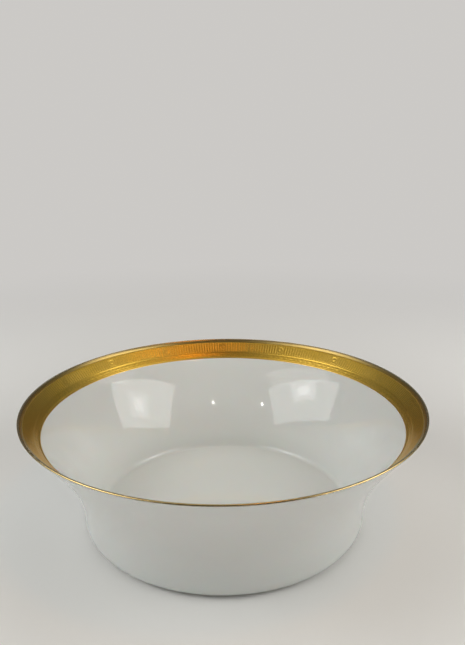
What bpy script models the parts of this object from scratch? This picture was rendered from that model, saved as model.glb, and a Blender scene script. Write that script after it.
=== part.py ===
"""Round porcelain serving bowl with a flared, gold-banded rim.

The bowl stands on its foot at the origin: +Z is up and the Z axis is the
bowl's turning axis.  Every piece is turned, so each is one closed outline in
the plane y = 0 (radius, height), spun about Z.  Units are metres.
"""
import math

import bmesh
import bpy
from mathutils import Vector

# ---- driving dimensions ---------------------------------------------------
LIP_RADIUS = 0.1225        # outermost radius of the rim
HEIGHT = 0.0780            # from the table to the crest of the lip
LIP_THICK = 0.0015         # the lip is rounded over at this thickness
FLARE_ANGLE = 47.35        # slope of the flared rim's inner face above the horizontal, degrees
BACK_ANGLE = 50.2          # slope of its outer face: the rim thickens towards the wall
FLARE_WIDTH = 0.01624      # gold-decorated face, measured down the slope

WALL_RADIUS = 0.0882       # outer radius of the upright lower wall
CORNER_OUT = (0.0024, 0.0059)   # outer bottom corner: reach inwards, rise
UNDERSIDE_Z = 0.0022       # underside of the body at that corner
FLOOR_Z = 0.0053           # inside floor
FLOOR_RADIUS = 0.0780      # radius of its flat part
FLOOR_FILLET = 0.0028      # tight inside corner between floor and wall,
FILLET_END = -14           # which turns up to this angle, where the wall leans out, degrees

FOOT_OUT = 0.0795          # foot ring, outer and inner radius
FOOT_IN = 0.0740
FOOT_TOP_Z = 0.0034        # top of its tongue, up inside the body's groove
FOOT_ROUND = 0.0008        # rounding on both sides of the standing face
RECESS_Z = 0.0027          # underside inside the foot ring

GOLD_THICK = 0.0002        # thickness the gold layers are given
LIP_GOLD_OUTSIDE = 0.0003  # how far the edge gold runs down each face,
LIP_GOLD_INSIDE = 0.0023   # measured from the end of the rounded lip
LINE_WIDTH = 0.0011        # burnished line at the band's lower edge

GAP = 0.0003               # clearance between neighbouring pieces
SEGMENTS = 80              # facets round the axis

# ---- directions in the rim's cross-section --------------------------------
SLOPE = math.radians(FLARE_ANGLE)
BACK_SLOPE = math.radians(BACK_ANGLE)
DOWN_FLARE = Vector((-math.cos(SLOPE), -math.sin(SLOPE)))
OFF_FLARE = Vector((-math.sin(SLOPE), math.cos(SLOPE)))     # out of the inner face
DOWN_BACK = Vector((-math.cos(BACK_SLOPE), -math.sin(BACK_SLOPE)))
OFF_BACK = Vector((math.sin(BACK_SLOPE), -math.cos(BACK_SLOPE)))    # out of the outer face
LIP_CENTRE = Vector((LIP_RADIUS - LIP_THICK / 2, HEIGHT - LIP_THICK / 2))


def on_flare(side, distance, depth=0.0):
    """Point on the flare's inner (+1) or outer (-1) face, `depth` under its skin."""
    off, down = (OFF_FLARE, DOWN_FLARE) if side > 0 else (OFF_BACK, DOWN_BACK)
    return LIP_CENTRE + (LIP_THICK / 2 - depth) * off + distance * down


def arc(centre, radius_r, radius_z, start, end, steps):
    """Points on an ellipse arc, angles in degrees from +r towards +z, ends included."""
    points = []
    for i in range(steps + 1):
        a = math.radians(start + (end - start) * i / steps)
        points.append(Vector((centre[0] + radius_r * math.cos(a),
                              centre[1] + radius_z * math.sin(a))))
    return points


def bezier(p0, p1, p2, p3, steps):
    """Points along a cubic curve, ends included."""
    points = []
    for i in range(steps + 1):
        t = i / steps
        s = 1 - t
        points.append(s ** 3 * p0 + 3 * s * s * t * p1 + 3 * s * t * t * p2 + t ** 3 * p3)
    return points


def lip_round(depth, steps):
    """Round of the lip, from its inner face over the crest to its outer face."""
    radius = LIP_THICK / 2 - depth
    start = math.degrees(math.atan2(OFF_FLARE[1], OFF_FLARE[0]))
    end = math.degrees(math.atan2(OFF_BACK[1], OFF_BACK[0]))
    return arc(LIP_CENTRE, radius, radius, start, end, steps)


def porcelain(name, colour, roughness):
    mat = bpy.data.materials.new(name)
    mat.use_nodes = True
    shader = mat.node_tree.nodes["Principled BSDF"]
    shader.inputs["Base Color"].default_value = (*colour, 1)
    shader.inputs["Roughness"].default_value = roughness
    shader.inputs["Metallic"].default_value = 0.0
    return mat


def gold(name, colour, roughness):
    mat = porcelain(name, colour, roughness)
    mat.node_tree.nodes["Principled BSDF"].inputs["Metallic"].default_value = 1.0
    return mat


def turned(name, outline, material):
    """Spin an outline of (radius, height) points about Z into one closed body.

    An outline that starts and ends on the axis stays open there; any other
    outline is closed into a ring.
    """
    on_axis = outline[0][0] == 0 and outline[-1][0] == 0
    bm = bmesh.new()
    verts = [bm.verts.new((r, 0, z)) for r, z in outline]
    edges = [bm.edges.new(pair) for pair in zip(verts, verts[1:])]
    if not on_axis:
        edges.append(bm.edges.new((verts[-1], verts[0])))
    bmesh.ops.spin(bm, geom=verts + edges, cent=(0, 0, 0), axis=(0, 0, 1),
                   angle=2 * math.pi, steps=SEGMENTS, use_merge=True)
    bmesh.ops.remove_doubles(bm, verts=bm.verts, dist=1e-6)
    bmesh.ops.recalc_face_normals(bm, faces=bm.faces)
    mesh = bpy.data.meshes.new(name)
    bm.to_mesh(mesh)
    bm.free()
    mesh.shade_smooth()
    mesh.set_sharp_from_angle(angle=math.radians(35))
    mesh.materials.append(material)
    obj = bpy.data.objects.new(name, mesh)
    bpy.context.scene.collection.objects.link(obj)
    return obj


for old in list(bpy.data.objects):
    bpy.data.objects.remove(old, do_unlink=True)

# ---- bowl body: floor, wall and flared rim, jiggered in one piece ---------
seat_depth = GOLD_THICK + GAP
outer_start = on_flare(-1, 0.0009)
outer_wall = bezier(outer_start,
                    outer_start + 0.0228 * DOWN_BACK,
                    Vector((WALL_RADIUS + 0.0002, 0.0364)),
                    Vector((WALL_RADIUS, UNDERSIDE_Z + CORNER_OUT[1])), 11)
outer_corner = arc((WALL_RADIUS - CORNER_OUT[0], UNDERSIDE_Z + CORNER_OUT[1]),
                   CORNER_OUT[0], CORNER_OUT[1], 0, -90, 5)

fillet_centre = Vector((FLOOR_RADIUS, FLOOR_Z + FLOOR_FILLET))
inner_fillet = arc(fillet_centre, FLOOR_FILLET, FLOOR_FILLET, -90, FILLET_END, 6)
lean = math.radians(FILLET_END)
up_wall = Vector((-math.sin(lean), math.cos(lean)))
inner_start = on_flare(1, FLARE_WIDTH + GAP)
inner_wall = bezier(inner_fillet[-1],
                    inner_fillet[-1] + 0.0200 * up_wall,
                    inner_start + 0.0143 * DOWN_FLARE,
                    inner_start, 11)

groove_top = FOOT_TOP_Z + GAP
body_outline = (
    [Vector((0, FLOOR_Z))] + inner_fillet + inner_wall[1:]
    + [on_flare(1, FLARE_WIDTH + GAP, seat_depth)]          # seat of the gold, inside
    + lip_round(seat_depth, 6)
    + [on_flare(-1, LIP_GOLD_OUTSIDE + GAP, seat_depth),    # and its step outside
       on_flare(-1, LIP_GOLD_OUTSIDE + GAP)]
    + outer_wall + outer_corner[1:]
    + [Vector((FOOT_OUT + GAP, UNDERSIDE_Z + 0.0002)),      # groove for the foot's tongue
       Vector((FOOT_OUT + GAP, groove_top)),
       Vector((FOOT_IN - GAP, groove_top)),
       Vector((FOOT_IN - GAP, RECESS_Z)),
       Vector((0, RECESS_Z))])
turned("bowl_body", body_outline, porcelain("glazed_white", (0.83, 0.82, 0.79), 0.08))

# ---- foot ring: its tongue sits up in the groove under the body -----------
foot_outline = (
    [Vector((FOOT_IN, FOOT_TOP_Z)), Vector((FOOT_OUT, FOOT_TOP_Z))]
    + arc((FOOT_OUT - FOOT_ROUND, FOOT_ROUND), FOOT_ROUND, FOOT_ROUND, 0, -90, 3)
    + arc((FOOT_IN + 0.0004 + FOOT_ROUND, FOOT_ROUND), FOOT_ROUND, FOOT_ROUND, -90, -180, 3))
turned("foot_ring", foot_outline, porcelain("unglazed_foot", (0.80, 0.78, 0.73), 0.45))

# ---- gold edge: burnished, wrapped over the lip ---------------------------
edge_outline = (
    [on_flare(1, LIP_GOLD_INSIDE)] + lip_round(0.0, 8)
    + [on_flare(-1, LIP_GOLD_OUTSIDE), on_flare(-1, LIP_GOLD_OUTSIDE, GOLD_THICK)]
    + lip_round(GOLD_THICK, 8)[::-1] + [on_flare(1, LIP_GOLD_INSIDE, GOLD_THICK)])
turned("lip_gold", edge_outline, gold("burnished_gold", (0.83, 0.60, 0.24), 0.12))

# ---- etched band and the burnished line below it, on the flare's face -----
band_start = LIP_GOLD_INSIDE + GAP
line_start = FLARE_WIDTH - LINE_WIDTH
for name, start, end, finish in (
        ("etched_band", band_start, line_start - GAP,
         gold("etched_gold", (0.72, 0.50, 0.18), 0.36)),
        ("inner_gold_line", line_start, FLARE_WIDTH,
         gold("burnished_line", (0.80, 0.58, 0.23), 0.15))):
    turned(name, [on_flare(1, start), on_flare(1, start, GOLD_THICK),
                  on_flare(1, end, GOLD_THICK), on_flare(1, end)], finish)
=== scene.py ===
"""Round porcelain serving bowl with a flared rim, an etched gold band and a low foot.

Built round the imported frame: +Z is up, the Z axis is the bowl's turning axis,
and the foot stands on the plane z = 0.  Lengths are in metres.
"""
import math

import bmesh
import bpy
from mathutils import Matrix, Vector


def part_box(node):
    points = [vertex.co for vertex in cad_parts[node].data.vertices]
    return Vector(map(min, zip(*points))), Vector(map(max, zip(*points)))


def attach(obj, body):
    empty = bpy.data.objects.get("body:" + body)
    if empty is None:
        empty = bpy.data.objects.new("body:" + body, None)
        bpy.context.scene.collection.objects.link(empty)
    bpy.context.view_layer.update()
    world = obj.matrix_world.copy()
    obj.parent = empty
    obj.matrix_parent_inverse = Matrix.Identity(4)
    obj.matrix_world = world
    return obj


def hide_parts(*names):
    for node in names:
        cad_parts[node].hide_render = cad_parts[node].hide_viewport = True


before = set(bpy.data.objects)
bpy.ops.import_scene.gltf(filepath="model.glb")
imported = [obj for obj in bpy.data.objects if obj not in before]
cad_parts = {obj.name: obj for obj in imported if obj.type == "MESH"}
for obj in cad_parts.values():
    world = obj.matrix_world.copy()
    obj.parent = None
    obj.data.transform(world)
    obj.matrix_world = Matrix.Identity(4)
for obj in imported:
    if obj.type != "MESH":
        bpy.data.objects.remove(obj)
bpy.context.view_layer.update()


# ---- The bowl body --------------------------------------------------------
# White hard-paste porcelain, jiggered in one piece: flat floor, upright wall and
# a rim that flares out in one smooth curve.  A clear gloss glaze covers it.
MM = 0.001


class Wire:
    """A socket of a node tree; arithmetic written on it adds Math nodes."""

    def __init__(self, tree, socket):
        self.tree = tree
        self.socket = socket

    def math(self, operation, *values):
        return self.tree.make("ShaderNodeMath", {"operation": operation}, list(values))

    def __add__(self, other):
        return self.math("ADD", self, other)

    __radd__ = __add__

    def __sub__(self, other):
        return self.math("SUBTRACT", self, other)

    def __rsub__(self, other):
        return self.math("SUBTRACT", other, self)

    def __mul__(self, other):
        return self.math("MULTIPLY", self, other)

    __rmul__ = __mul__

    def __truediv__(self, other):
        return self.math("DIVIDE", self, other)

    def __rtruediv__(self, other):
        return self.math("DIVIDE", other, self)

    def __pow__(self, other):
        return self.math("POWER", self, other)

    def __mod__(self, other):
        return self.math("FLOORED_MODULO", self, other)

    def __abs__(self):
        return self.math("ABSOLUTE", self)

    def floor(self):
        return self.math("FLOOR", self)

    def sin(self):
        return self.math("SINE", self)

    def cos(self):
        return self.math("COSINE", self)

    def least(self, other):
        return self.math("MINIMUM", self, other)

    def most(self, other):
        return self.math("MAXIMUM", self, other)

    def rise(self, low, high):
        """0 below `low`, 1 above `high`, with a smooth step between; falls if low > high."""
        return self.tree.make("ShaderNodeMapRange", {"interpolation_type": "SMOOTHSTEP"},
                              {"Value": self, "From Min": low, "From Max": high})


class Tree:
    """A node tree that is being wired: every node comes from make()."""

    def __init__(self, tree):
        self.tree = tree

    def make(self, kind, settings=None, sockets=None, output=0):
        made = self.tree.nodes.new(kind)
        for key, value in (settings or {}).items():
            setattr(made, key, value)
        pairs = sockets.items() if isinstance(sockets, dict) else enumerate(sockets or [])
        for key, value in pairs:
            if isinstance(value, Wire):
                self.tree.links.new(value.socket, made.inputs[key])
            elif value is not None:
                made.inputs[key].default_value = value
        return Wire(self, made.outputs[output]) if made.outputs else None


class Finish(Tree):
    """A material with one Principled shader, whose uniform values sit on its own sockets."""

    def __init__(self, name, **uniform):
        self.material = bpy.data.materials.new(name)
        self.material.use_nodes = True
        super().__init__(self.material.node_tree)
        self.shader = self.tree.nodes["Principled BSDF"]
        for key, value in uniform.items():
            self.shader.inputs[key.replace("_", " ")].default_value = value
        self.place = self.make("ShaderNodeTexCoord", output=3)

    def set(self, name, wire):
        self.tree.links.new(wire.socket, self.shader.inputs[name])

    def axes(self):
        """The Object coordinates as three wires, x, y and z."""
        split = self.tree.nodes.new("ShaderNodeSeparateXYZ")
        self.tree.links.new(self.place.socket, split.inputs[0])
        return [Wire(self, out) for out in split.outputs]

    def cloud(self, size, detail=2.0, roughness=0.5, at=None):
        """Noise between 0 and 1 whose lumps are about `size` metres across."""
        return self.make("ShaderNodeTexNoise", None,
                         {"Vector": at or self.place, "Scale": 1 / size,
                          "Detail": detail, "Roughness": roughness})

    def blend(self, factor, first, second):
        """Colour that goes from `first` to `second` as the factor goes from 0 to 1."""
        ends = [c if isinstance(c, Wire) else (*c, 1) for c in (first, second)]
        return self.make("ShaderNodeMix", {"data_type": "RGBA"},
                         {0: factor, 6: ends[0], 7: ends[1]}, output=2)

    def bump(self, height, depth, strength=1.0, under=None):
        return self.make("ShaderNodeBump", None,
                         {"Strength": strength, "Distance": depth, "Height": height,
                          "Normal": under})


class Shape(Tree):
    """A Geometry Nodes group with named inputs, run once on a carrier and then removed."""

    def __init__(self, name, **inputs):
        self.group = bpy.data.node_groups.new(name, "GeometryNodeTree")
        face = self.group.interface
        face.new_socket("Geometry", in_out="INPUT", socket_type="NodeSocketGeometry")
        for key, kind in inputs.items():
            face.new_socket(key.replace("_", " "), in_out="INPUT", socket_type="NodeSocket" + kind)
        face.new_socket("Geometry", in_out="OUTPUT", socket_type="NodeSocketGeometry")
        super().__init__(self.group)
        self.entry = self.group.nodes.new("NodeGroupInput")

    def given(self, name):
        return Wire(self, self.entry.outputs[name])

    def end(self, geometry):
        """Closes the seams, smooths, realizes and gives the material."""
        merged = self.make("GeometryNodeMergeByDistance", None,
                           {"Geometry": geometry, "Distance": 1e-6})
        smooth = self.make("GeometryNodeSetShadeSmooth", None, [merged])
        real = self.make("GeometryNodeRealizeInstances", None, [smooth])
        done = self.make("GeometryNodeSetMaterial", None,
                         {"Geometry": real, "Material": self.given("Material")})
        self.make("NodeGroupOutput", None, [done])

    def run(self, piece_name, carrier, **values):
        """The finished piece as a plain closed mesh, faces pointing outwards."""
        holder = bpy.data.objects.new(piece_name + "_carrier", carrier)
        bpy.context.scene.collection.objects.link(holder)
        modifier = holder.modifiers.new(piece_name, "NODES")
        modifier.node_group = self.group
        for item in self.group.interface.items_tree:
            key = item.name.replace(" ", "_")
            if item.item_type == "SOCKET" and item.in_out == "INPUT" and key in values:
                modifier[item.identifier] = values[key]
        ready = holder.evaluated_get(bpy.context.evaluated_depsgraph_get())
        mesh = bpy.data.meshes.new_from_object(ready)
        holder.modifiers.remove(modifier)
        bpy.data.objects.remove(holder)
        mesh.name = piece_name
        bm = bmesh.new()
        bm.from_mesh(mesh)
        bmesh.ops.recalc_face_normals(bm, faces=bm.faces)
        bm.to_mesh(mesh)
        bm.free()
        piece = bpy.data.objects.new(piece_name, mesh)
        bpy.context.scene.collection.objects.link(piece)
        return piece


def outline(points):
    """An open chain of (radius, height) points in the plane y = 0."""
    mesh = bpy.data.meshes.new("outline")
    mesh.from_pydata([(p[0], 0, p[1]) for p in points],
                     [(i, i + 1) for i in range(len(points) - 1)], [])
    return mesh


def arc(centre, reach, rise, start, end, steps):
    """Points on an ellipse arc, angles in degrees from +r towards +z, ends included."""
    angles = [math.radians(start + (end - start) * i / steps) for i in range(steps + 1)]
    return [Vector((centre[0] + reach * math.cos(a), centre[1] + rise * math.sin(a)))
            for a in angles]


def bezier(p0, p1, p2, p3, steps):
    """Points along a cubic curve, ends included."""
    shares = [i / steps for i in range(steps + 1)]
    return [(1 - t) ** 3 * p0 + 3 * (1 - t) ** 2 * t * p1 + 3 * (1 - t) * t * t * p2
            + t ** 3 * p3 for t in shares]


lip_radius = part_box("lip_gold")[1].x
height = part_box("lip_gold")[1].z
lip_half = 0.75 * MM                       # the lip is rounded over with this radius
flare = math.radians(47.35)                # slope of the rim's inner face
down = Vector((-math.cos(flare), -math.sin(flare)))    # down that face
proud = Vector((-math.sin(flare), math.cos(flare)))    # and out of it
back_slope = math.radians(50.2)            # slope of the outer face: the rim thickens downwards
back_down = Vector((-math.cos(back_slope), -math.sin(back_slope)))
back_proud = Vector((math.sin(back_slope), -math.cos(back_slope)))
lip_centre = Vector((lip_radius - lip_half, height - lip_half))
gold_seat = 0.22 * MM                      # the clay is this much lower under the gold
gold_inside = 16.24 * MM                   # how far the gold reaches down the inner face
gold_stop = 6                              # and over the lip to where it faces outwards, degrees


def on_flare(side, distance, depth=0.0):
    """Point on the rim's inner (+1) or outer (-1) face, `depth` under its skin."""
    off, along_face = (proud, down) if side > 0 else (back_proud, back_down)
    return lip_centre + (lip_half - depth) * off + distance * along_face


def lip_round(depth, steps, start=math.degrees(flare) + 90, end=math.degrees(back_slope) - 90):
    """Round of the lip, from its inner face over the crest towards its outer face."""
    return arc(lip_centre, lip_half - depth, lip_half - depth, start, end, steps)


wall_radius = 88.2 * MM                    # outer radius of the upright lower wall
underside = 2.2 * MM
corner_reach, corner_rise = 2.4 * MM, 5.9 * MM
floor_top = 5.3 * MM
floor_radius = 77.2 * MM
fillet = 2.8 * MM                          # tight inside corner between floor and wall,
fillet_middle = -36                        # easing into a wider curve from here, degrees,
fillet_wide = 8.0 * MM
fillet_end = -14                           # up to where the wall leans out
foot_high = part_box("foot_ring")[1]
foot_groove = (foot_high.x + 0.15 * MM, foot_high.x - 5.65 * MM, foot_high.z + 0.15 * MM)
recess = 2.7 * MM

outer_pull, inner_pull, foot_pull = 22.8 * MM, 14.3 * MM, 20 * MM   # how straight the walls start
outer_low_handle = Vector((wall_radius + 0.2 * MM, 36.4 * MM))
wall_steps = 48

outer_start = on_flare(-1, 0.9 * MM)
outer_wall = bezier(outer_start, outer_start + outer_pull * back_down, outer_low_handle,
                    Vector((wall_radius, underside + corner_rise)), wall_steps)
fillet_centre = Vector((floor_radius, floor_top + fillet))
turned = math.radians(fillet_middle)
wide_centre = fillet_centre - (fillet_wide - fillet) * Vector((math.cos(turned), math.sin(turned)))
inner_fillet = (arc(fillet_centre, fillet, fillet, -90, fillet_middle, 12)
                + arc(wide_centre, fillet_wide, fillet_wide, fillet_middle, fillet_end, 8)[1:])
lean = math.radians(fillet_end)
inner_start = on_flare(1, gold_inside + 0.3 * MM)
inner_wall = bezier(inner_fillet[-1],
                    inner_fillet[-1] + foot_pull * Vector((-math.sin(lean), math.cos(lean))),
                    inner_start + inner_pull * down, inner_start, wall_steps)
floor_rings = [Vector((floor_radius * i / 10, floor_top)) for i in range(10)]
under_rings = [Vector((foot_groove[1] * i / 10, recess)) for i in range(9, -1, -1)]
body_points = (
    floor_rings + inner_fillet + inner_wall[1:]
    + [on_flare(1, gold_inside + 0.05 * MM), on_flare(1, gold_inside + 0.02 * MM, 0.03 * MM),
       on_flare(1, gold_inside + 0.02 * MM, gold_seat)]
    + lip_round(gold_seat, 14, end=gold_stop - 1.5)
    + lip_round(0.03 * MM, 1, gold_stop - 1.5, gold_stop - 2)[:1]
    + lip_round(0.0, 10, start=gold_stop - 4)
    + outer_wall
    + arc((wall_radius - corner_reach, underside + corner_rise),
          corner_reach, corner_rise, 0, -90, 18)[1:]
    + [Vector((foot_groove[0] + 1.2 * MM, underside)),
       Vector((foot_groove[0] + 0.5 * MM, underside + 0.05 * MM)),
       Vector((foot_groove[0], underside + 0.3 * MM)),
       Vector((foot_groove[0], foot_groove[2])), Vector((foot_groove[1], foot_groove[2])),
       Vector((foot_groove[1], recess + 0.4 * MM)),
       Vector((foot_groove[1] - 0.4 * MM, recess))]
    + under_rings)

turning = Shape("turned_on_the_wheel", Outline_Points="Int", Facets="Int", Material="Material")
points, facets = turning.given("Outline Points"), turning.given("Facets")
index = turning.make("GeometryNodeInputIndex")
column = (index / (facets + 1)).floor()
turn = (index - column * (facets + 1)) / facets * math.tau
blank = turning.make("GeometryNodeMeshGrid", None,
                     {"Vertices X": points, "Vertices Y": facets + 1})
profile = turning.make("GeometryNodeSampleIndex", {"data_type": "FLOAT_VECTOR"},
                       {"Geometry": turning.given("Geometry"),
                        "Value": turning.make("GeometryNodeInputPosition"), "Index": column})
spun = turning.make("ShaderNodeVectorRotate", {"rotation_type": "Z_AXIS"},
                    {"Vector": profile, "Angle": turn})
turning.end(turning.make("GeometryNodeSetPosition", None, {"Geometry": blank, "Position": spun}))

# Faintly warm white, a little darker and greener low down inside and at the outside
# corner.  The glaze has the soft unevenness of a fired surface, and
# the floor has fine marks of cutlery that only show as a slight dulling.
glaze = Finish("glazed_porcelain", IOR=1.52, Subsurface_Weight=0.10, Subsurface_Scale=0.0015,
               Specular_IOR_Level=0.5)
x, y, z = glaze.axes()
radius = (x * x + y * y) ** 0.5
low_down = 1 - z.rise(7 * MM, 24 * MM)
mottle = glaze.cloud(30 * MM)
tint = glaze.blend((low_down * 0.6 + mottle * 0.4), (0.795, 0.80, 0.775), (0.745, 0.76, 0.73))
glaze.set("Base Color", tint)
haze = glaze.cloud(9 * MM, detail=4)
marks = glaze.make("ShaderNodeTexNoise", None,
                   {"Vector": glaze.make("ShaderNodeMapping", None,
                                         {"Vector": glaze.place, "Rotation": (0, 0, 0.6),
                                          "Scale": (1, 14, 1)}),
                    "Scale": 160.0, "Detail": 5.0})
on_floor = ((1 - radius.rise(60 * MM, 78 * MM)) * (1 - z.rise(7 * MM, 8 * MM))
            * z.rise(5 * MM, 6 * MM))
scratched = marks.rise(0.56, 0.70) * on_floor
glaze.set("Roughness", 0.045 + haze * 0.03 + scratched * 0.05)
skin = glaze.bump(glaze.cloud(16 * MM, detail=1), 0.05 * MM, 0.5)
glaze.set("Normal", glaze.bump(glaze.cloud(1.6 * MM, detail=1), 0.002 * MM, 0.3, under=skin))

body = turning.run("bowl_porcelain", outline(body_points), Outline_Points=len(body_points),
                   Facets=320, Material=glaze.material)
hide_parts("bowl_body")
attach(body, "root")

# ---- The foot ring --------------------------------------------------------
# A low ring of the same clay under the body.  Its sides are glazed; the face that it
# stands on is wiped clear before firing and ground smooth, so the clay shows there.
foot_outer, foot_inner = foot_high.x, foot_high.x - 5.5 * MM
foot_round = 0.8 * MM
foot_points = (
    [Vector((foot_inner, foot_high.z - 0.2 * MM)), Vector((foot_inner + 0.2 * MM, foot_high.z)),
     Vector((foot_outer - 0.2 * MM, foot_high.z)), Vector((foot_outer, foot_high.z - 0.2 * MM))]
    + arc((foot_outer - foot_round, foot_round), foot_round, foot_round, 0, -90, 10)
    + arc((foot_inner + 0.4 * MM + foot_round, foot_round), foot_round, foot_round, -90, -180, 10)
    + [Vector((foot_inner, foot_high.z - 0.2 * MM))])

foot_clay = Finish("foot_clay", IOR=1.5)
x, y, z = foot_clay.axes()
edge = foot_clay.cloud(2 * MM, detail=3)
bare = 1 - (z + (edge - 0.5) * (0.25 * MM)).rise(0.22 * MM, 0.34 * MM)
grain = foot_clay.cloud(0.5 * MM, detail=3)
worn = foot_clay.cloud(6 * MM, detail=3).rise(0.45, 0.75)
clay = foot_clay.blend(worn * 0.6, (0.74, 0.71, 0.64), (0.56, 0.53, 0.47))
foot_clay.set("Base Color", foot_clay.blend(bare, (0.78, 0.785, 0.75), clay))
foot_clay.set("Roughness", 0.06 + bare * (0.42 + grain * 0.18))
foot_clay.set("Normal", foot_clay.bump(grain * bare, 0.02 * MM, 0.6))

foot = turning.run("foot", outline(foot_points), Outline_Points=len(foot_points),
                   Facets=256, Material=foot_clay.material)
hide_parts("foot_ring")
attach(foot, "root")

# ---- The gold edge --------------------------------------------------------
# Liquid gold brushed over the lip on a turntable, fired, and burnished with agate.
# It runs a little way down the inner face and stops on the outer side of the round;
# it's smoothest on the crest and rougher further in, where the cloth rubs less.
# The crest and the strip just inside it carry painted shade: a darker gold than lower down.
gold_depth = 0.20 * MM
edge_inside = 2.45 * MM
crown = 0.03 * MM                       # rounding where a gold layer ends
edge_points = (
    [on_flare(1, edge_inside, gold_depth), on_flare(1, edge_inside, crown),
     on_flare(1, edge_inside - crown)]
    + lip_round(0.0, 32, end=gold_stop + 3)
    + lip_round(crown, 1, gold_stop, gold_stop - 1)[:1]
    + lip_round(gold_depth, 16, end=gold_stop)[::-1] + [on_flare(1, edge_inside, gold_depth)])

burnish = Finish("burnished_gold", Metallic=1.0)
x, y, z = burnish.axes()
radius = (x * x + y * y) ** 0.5
across = burnish.make("ShaderNodeCombineXYZ", None,
                      [x * 0.12, y * 0.12, (z + radius) * 1.0])
strokes = burnish.make("ShaderNodeTexNoise", None,
                       {"Vector": across, "Scale": 2600.0, "Detail": 3.0})
rubbed = z.rise(height - 0.5 * MM, height) * burnish.cloud(14 * MM, detail=3).rise(0.4, 0.8)
further_in = 1 - radius.rise(lip_radius - 2.4 * MM, lip_radius - 1.2 * MM)
# Painted shade: the crest and the upper strip get a darker gold than the line lower down, standing
# in for the dim room they mirror.
crest = burnish.blend(rubbed * 0.5, (0.56, 0.41, 0.19), (0.52, 0.41, 0.24))
upper = z.rise(height - 4 * MM, height - 3 * MM)
inner = burnish.blend(upper, (0.72, 0.45, 0.085), (0.46, 0.315, 0.095))
burnish.set("Base Color", burnish.blend(further_in, crest, inner))
burnish.set("Roughness", 0.22 + strokes * 0.05 + rubbed * 0.05 + further_in * 0.13)
burnish.set("Normal", burnish.bump(strokes, 0.004 * MM, 0.5))

edge_gold = turning.run("gold_edge", outline(edge_points), Outline_Points=len(edge_points),
                        Facets=400, Material=burnish.material)
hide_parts("lip_gold")
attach(edge_gold, "root")

# ---- The etched band ------------------------------------------------------
# The pattern is etched into the glaze with acid before the gold goes on, so the ground
# is matt and lies lower and the pattern stands up to the old surface.  It is a field of
# radial reeds broken by sixteen plain rings, with a border of small lozenges below it.
band_start = edge_inside + 0.02 * MM
band_end = 15.10 * MM
pattern_radius = 116.0                     # millimetres, where the motifs keep their true width
reed_count = 360
reed_samples = 6

etching = Shape("etched_band", Reeds="Int", Samples="Int", Rows="Int", Motifs="Float",
                Relief="Float", Material="Material")
reeds, samples, rows = (etching.given(n) for n in ("Reeds", "Samples", "Rows"))
steps = reeds * samples
index = etching.make("GeometryNodeInputIndex")
row = (index / (steps + 1)).floor()
turn = (index - row * (steps + 1)) / steps * math.tau
blank = etching.make("GeometryNodeMeshGrid", None,
                     {"Vertices X": rows + 3, "Vertices Y": steps + 1})
share = ((row - 1) / (rows - 1)).most(0.0).least(1.0)
share = share * row.rise(rows + 1.6, rows + 1.4)          # the last row closes on the first
along = band_start + share * (band_end - band_start)
millimetres = along / MM
on_top = row.rise(0.4, 0.6) * row.rise(rows + 0.6, rows + 0.4)


def strip(centre, half, soft=0.22):
    """1 on a band of the slope round `centre`, all in millimetres down the flare."""
    return abs(millimetres - centre).rise(half + soft, half - soft)


def motif(count, offset, centre):
    """Distances in millimetres from the nearest of `count` motif centres, along and across."""
    per_turn = count / math.tau
    sideways = ((turn * per_turn + offset) % 1.0 - 0.5) / per_turn * pattern_radius
    return abs(sideways), abs(millimetres - centre)


field_centre, field_half = 6.6, 3.75       # millimetres down the flare
border_centre, border_count = 12.9, 90.0
ring_radius, ring_clear = 2.5, 3.1         # of a motif's ring, and of the plain ground round it
side, off = motif(etching.given("Motifs"), 0.5, field_centre)
from_ring = (side * side + off * off) ** 0.5
ring = abs(from_ring - ring_radius).rise(0.55, 0.25) * 0.75
boss = from_ring.rise(1.15, 0.75) * 0.7
reed = (turn * reeds).cos() * 0.5 + 0.5
field = (reed * (1 - from_ring.rise(ring_clear, ring_clear - 0.2))).most(ring).most(boss)
side, off = motif(border_count, 0.0, border_centre)
border = (side * 0.62 + off).rise(1.05, 0.75) * 0.6
side, off = motif(border_count, 0.5, border_centre)
bead = ((side * side + off * off) ** 0.5).rise(0.62, 0.38) * 0.6
lines = strip(10.85, 0.25, 0.18).most(strip(14.8, 0.2, 0.15))
raised = (field * strip(field_centre, field_half)).most(border).most(bead).most(lines)

depth = gold_depth + on_top * ((1 - raised) * etching.given("Relief") - gold_depth)
face_start = on_flare(1, 0)
spread = face_start[0] + along * down[0] - depth * proud[0]
rise = face_start[1] + along * down[1] - depth * proud[1]
place = etching.make("ShaderNodeCombineXYZ", None,
                     [spread * turn.cos(), spread * turn.sin(), rise])
etching.end(etching.make("GeometryNodeSetPosition", None, {"Geometry": blank, "Position": place}))

# Matt gold over a fine acid-bitten ground: the pits are a few hundredths of a
# millimetre deep, and burnishing has brightened only what stands up.
matt_gold = Finish("etched_gold", Metallic=1.0)
bitten = matt_gold.cloud(0.22 * MM, detail=2)
stipple = matt_gold.cloud(0.9 * MM, detail=2, roughness=0.6)
patchy = matt_gold.cloud(18 * MM, detail=3)
tone = matt_gold.blend(patchy.rise(0.3, 0.7), (0.91, 0.565, 0.080), (0.87, 0.55, 0.095))
matt_gold.set("Base Color", matt_gold.blend(stipple.rise(0.62, 0.38) * 0.6, tone,
                                            (0.68, 0.42, 0.06)))
matt_gold.set("Roughness", 0.245 + bitten * 0.09 + patchy * 0.05)
coarse = matt_gold.bump(stipple, 0.035 * MM, 0.7)
matt_gold.set("Normal", matt_gold.bump(bitten, 0.014 * MM, 0.5, under=coarse))

band = etching.run("gold_band", outline([face_start, face_start + down * MM]),
                   Reeds=reed_count, Samples=reed_samples, Rows=34, Motifs=16.0,
                   Relief=0.14 * MM, Material=matt_gold.material)
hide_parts("etched_band")
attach(band, "root")

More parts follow.
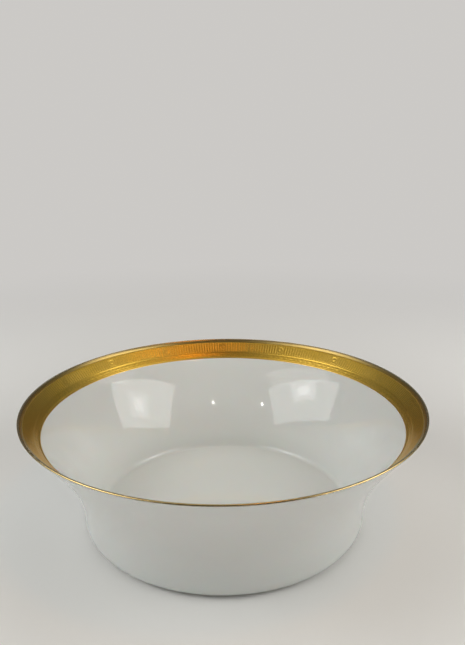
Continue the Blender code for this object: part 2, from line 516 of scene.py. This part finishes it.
# ---- The burnished line ---------------------------------------------------
# A narrow line of bright gold that closes the band where it meets the white glaze,
# drawn with a fine brush while the bowl turns.
line_start = band_end + 0.02 * MM
line_points = (
    [on_flare(1, line_start, gold_depth), on_flare(1, line_start, crown),
     on_flare(1, line_start + crown), on_flare(1, (line_start + gold_inside) / 2, -0.01 * MM),
     on_flare(1, gold_inside - crown), on_flare(1, gold_inside, crown),
     on_flare(1, gold_inside, gold_depth), on_flare(1, line_start, gold_depth)])
line = turning.run("gold_line", outline(line_points), Outline_Points=len(line_points),
                   Facets=360, Material=burnish.material)
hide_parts("inner_gold_line")
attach(line, "root")

# ---- The studio -----------------------------------------------------------
# A pale table top between two wide softboxes, one on each side, with a third overhead
# and three small lamps in front.  The room behind and in front stays dim, and
# its reflection gives the gold its dark edges.  Far away the table fades into the pale
# backdrop.
table_radius = 1.0
floor_mesh = bpy.data.meshes.new("table_top")
bm = bmesh.new()
bmesh.ops.create_circle(bm, cap_ends=True, radius=table_radius, segments=96)
bm.to_mesh(floor_mesh)
bm.free()
backdrop = (0.60, 0.585, 0.565)
table_finish = Finish("pale_table", Roughness=0.6, Specular_IOR_Level=0.0, Emission_Strength=1.0)
x, y, z = table_finish.axes()
distance = (x * x + y * y) ** 0.5
near_tone = table_finish.blend(table_finish.cloud(0.25), (0.90, 0.88, 0.855), (0.88, 0.865, 0.84))
table_finish.set("Base Color", table_finish.blend(distance.rise(0.3, 0.85), near_tone,
                                                  (0.0, 0.0, 0.0)))
table_finish.set("Emission Color", table_finish.blend(distance.rise(0.2, 0.85), (0.0, 0.0, 0.0),
                                                      backdrop))
table_finish.set("Normal", table_finish.bump(table_finish.cloud(1.2 * MM), 0.02 * MM, 0.2))
floor_mesh.materials.append(table_finish.material)
table_top = bpy.data.objects.new("table_top", floor_mesh)
bpy.context.scene.collection.objects.link(table_top)


def towards(azimuth, elevation):
    """Unit vector at degrees from -Y towards +X, and degrees above the table."""
    a, e = math.radians(azimuth), math.radians(elevation)
    return Vector((math.sin(a) * math.cos(e), -math.cos(a) * math.cos(e), math.sin(e)))


# Each softbox has a brighter core and spot in it, and a dimmer glow above it; the warm
# lamp gives the gold its orange patch.  Distances and sizes are in metres.
bowl_middle = Vector((0, 0, 0.6 * height))
for name, azimuth, elevation, distance, width, tall, radiance, colour in (
        ("softbox_right", 75, 30, 0.85, 0.70, 0.48, 2.8, (0.98, 0.99, 0.97)),
        ("softbox_right_core", 79.7, 28.8, 0.82, 0.22, 0.22, 1.4, (1.0, 1.0, 1.0)),
        ("softbox_right_spot", 79.7, 28.8, 0.80, 0.10, 0.10, 2.2, (1.0, 1.0, 1.0)),
        ("softbox_left", -74.5, 31, 0.85, 0.80, 0.38, 2.45, (0.96, 1.0, 0.99)),
        ("softbox_left_core", -75.5, 36.5, 0.82, 0.26, 0.18, 2.0, (1.0, 1.0, 1.0)),
        ("softbox_left_spot", -75.5, 36.5, 0.80, 0.12, 0.08, 2.8, (1.0, 1.0, 1.0)),
        ("softbox_over", 180, 62, 1.0, 0.50, 0.50, 1.0, (0.99, 1.0, 0.95)),
        ("glow_left", -73, 48.8, 0.9, 0.64, 0.20, 1.5, (1.0, 0.98, 0.93)),
        ("glow_right", 104, 48, 0.9, 0.34, 0.22, 1.0, (1.0, 0.98, 0.93)),
        ("lamp_right", 48.2, 24.5, 1.3, 0.022, 0.022, 160, (1.0, 0.98, 0.95)),
        ("lamp_middle", 9.7, 31.6, 1.3, 0.024, 0.024, 110, (1.0, 0.98, 0.95)),
        ("lamp_left", -36, 29.8, 1.3, 0.022, 0.022, 100, (1.0, 0.98, 0.95)),
        ("warm_lamp", 43, 71.5, 1.0, 0.16, 0.14, 5.6, (1.0, 0.41, 0.03))):
    light = bpy.data.lights.new(name, "AREA")
    light.shape = "RECTANGLE"
    light.size, light.size_y = width, tall
    light.energy = radiance * math.pi * width * tall
    light.color = colour
    lamp = bpy.data.objects.new(name, light)
    direction = towards(azimuth, elevation)
    lamp.location = bowl_middle + direction * distance
    lamp.rotation_euler = direction.to_track_quat("Z", "Y").to_euler()
    lamp.visible_camera = False
    bpy.context.scene.collection.objects.link(lamp)

world = bpy.data.worlds.new("studio_room")
bpy.context.scene.world = world
world.use_nodes = True
room = Tree(world.node_tree)
split = world.node_tree.nodes.new("ShaderNodeSeparateXYZ")
world.node_tree.links.new(room.make("ShaderNodeTexCoord", output=0).socket, split.inputs[0])
x, y, z = (Wire(room, out) for out in split.outputs)
level = (x * x + y * y).most(0.001)
high = z.rise(0.70, 0.95)
low = 1 - z.rise(0.25, 0.55)
middle = 1 - high - low
behind = y.most(0.0) ** 2 / level
left = (0 - x).most(0.0) ** 2 / level


def lit(share, under, colour):
    """Room light `under`, with `colour` mixed in where `share` is 1."""
    under = under if isinstance(under, Wire) else (*under, 1)
    return room.make("ShaderNodeMix", {"data_type": "RGBA"},
                     {0: share, 6: under, 7: (*colour, 1)}, output=2)


room_tone = lit(high * (1 - (0 - y).most(0.0) ** 2 / level * 0.95), (0.02, 0.02, 0.02),
                (0.42, 0.42, 0.37))
room_tone = lit(middle * behind, room_tone, (0.28, 0.34, 0.42))
room_tone = lit(middle * left, room_tone, (0.20, 0.21, 0.25))
room_tone = lit(low * behind, room_tone, (0.11, 0.105, 0.11))
seen = room.make("ShaderNodeLightPath", output=0)
shown = lit(seen, room_tone, backdrop)
world.node_tree.links.new(shown.socket, world.node_tree.nodes["Background"].inputs["Color"])

# The camera stands in front and above, and looks down a little into the bowl.
camera_data = bpy.data.cameras.new("camera")
camera_data.lens = 36.5
camera_data.sensor_width = 36.0
camera = bpy.data.objects.new("camera", camera_data)
look_down, look_right, roll = math.radians(16.01), math.radians(0.88), math.radians(-0.36)
camera.matrix_world = (Matrix.Translation((0, -3.075 * lip_radius, height + 1.278 * lip_radius))
                       @ Matrix.Rotation(-look_right, 4, "Z")
                       @ Matrix.Rotation(math.pi / 2 - look_down, 4, "X")
                       @ Matrix.Rotation(roll, 4, "Z"))
bpy.context.scene.collection.objects.link(camera)
bpy.context.scene.camera = camera
bpy.context.scene.view_settings.view_transform = "Standard"
